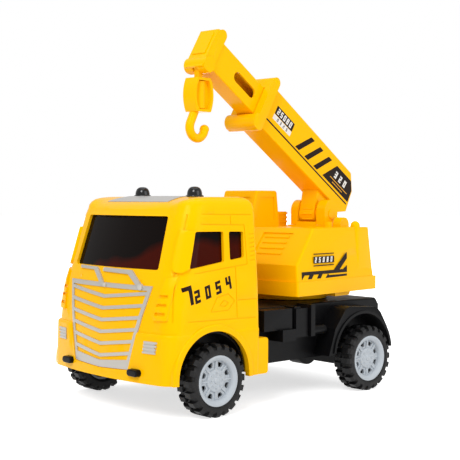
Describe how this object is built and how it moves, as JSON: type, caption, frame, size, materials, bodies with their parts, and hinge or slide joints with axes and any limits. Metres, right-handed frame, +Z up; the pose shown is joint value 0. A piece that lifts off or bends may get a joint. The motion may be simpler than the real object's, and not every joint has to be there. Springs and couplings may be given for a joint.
{
  "type": "toy crane truck",
  "caption": "Push-along toy lorry with a friction drive, a turning crane housing, a boom that lifts, a jib that slides out and a hanging hook.",
  "frame": {"origin": "on the ground under the middle of the toy's length and width, as it stands with the crane turned 6.5 degrees to its left", "axes": "+X forward, out of the cab; +Y to the truck's left; +Z up"},
  "size_m": [0.2212, 0.1268, 0.23],
  "materials": {
    "yellow": "glossy moulded",
    "black": "satin moulded",
    "black_gloss": "glossy",
    "glazing": "smoked, glossy",
    "silver": "silver, satin",
    "grey": "satin",
    "hub": "satin",
    "tyre": "matt moulded",
    "nylon": "matt",
    "steel": "bright"
  },
  "bodies": {
    "truck": {"cab_shell": "yellow", "cab_glazing": "glazing", "grille": "silver", "wipers": "silver", "headlights": "silver", "bumper_pegs": "black", "roof_beacons": "black_gloss", "roof_plate": "grey", "cab_screws": "steel", "chassis_frame": "black", "chassis_base": "black", "base_screws": "steel", "gear_plate_left": "steel", "gear_plate_right": "steel"},
    "front_wheels": {"front_left_hub": "hub", "front_right_hub": "hub", "front_left_tyre": "tyre", "front_right_tyre": "tyre", "front_axle": "steel"},
    "rear_wheels": {"rear_left_hub": "hub", "rear_right_hub": "hub", "rear_left_tyre": "tyre", "rear_right_tyre": "tyre", "rear_axle": "steel", "axle_gear": "nylon"},
    "idler": {"idler_gear": "nylon", "idler_shaft": "steel"},
    "flywheel": {"flywheel": "steel", "flywheel_pinion": "steel"},
    "crane": {"crane_body": "yellow", "crane_floor": "yellow", "turntable_washer": "steel", "turntable_screw": "steel", "crane_screws": "steel", "operator_cabin": "yellow", "boom_bracket": "yellow", "pivot_pin": "yellow"},
    "boom": {"boom": "yellow", "boom_collar": "yellow"},
    "jib": {"jib": "yellow", "jib_guide": "black", "jib_head": "yellow", "hook_pin": "steel"},
    "hook": {"hook_block": "yellow", "load_hook": "yellow"}
  },
  "joints": [
    {"name": "front_wheel_spin", "type": "hinge", "parent": "truck", "child": "front_wheels", "pos_m": [0.07081, 0, 0.021], "axis": [0, 1, 0], "continuous": true},
    {"name": "rear_wheel_spin", "type": "hinge", "parent": "truck", "child": "rear_wheels", "pos_m": [-0.05989, 0, 0.021], "axis": [0, 1, 0], "continuous": true},
    {"name": "idler_spin", "type": "hinge", "parent": "truck", "child": "idler", "pos_m": [-0.05678, 0, 0.03259], "axis": [0, 1, 0], "continuous": true},
    {"name": "flywheel_spin", "type": "hinge", "parent": "truck", "child": "flywheel", "pos_m": [-0.0457, 0, 0.03899], "axis": [0, 1, 0], "continuous": true},
    {"name": "crane_slew", "type": "hinge", "parent": "truck", "child": "crane", "pos_m": [-0.04619, 0, 0.0575], "axis": [0, 0, 1], "continuous": true},
    {"name": "boom_luff", "type": "hinge", "parent": "crane", "child": "boom", "pos_m": [-0.07401, -0.00317, 0.114], "axis": [0.1132, -0.9936, 0], "range_deg": [-8, 36]},
    {"name": "jib_slide", "type": "slide", "parent": "boom", "child": "jib", "axis": [0.8426, 0.096, 0.5299], "range_m": [-0.024, 0.035]},
    {"name": "hook_swing", "type": "hinge", "parent": "jib", "child": "hook", "pos_m": [0.04177, 0.01002, 0.20568], "axis": [0.1132, -0.9936, 0], "range_deg": [-22, 40]}
  ],
  "couplings": [
    {"joint": "idler_spin", "follows": "flywheel_spin", "ratio": -0.45455},
    {"joint": "rear_wheel_spin", "follows": "flywheel_spin", "ratio": 0.22727}
  ]
}
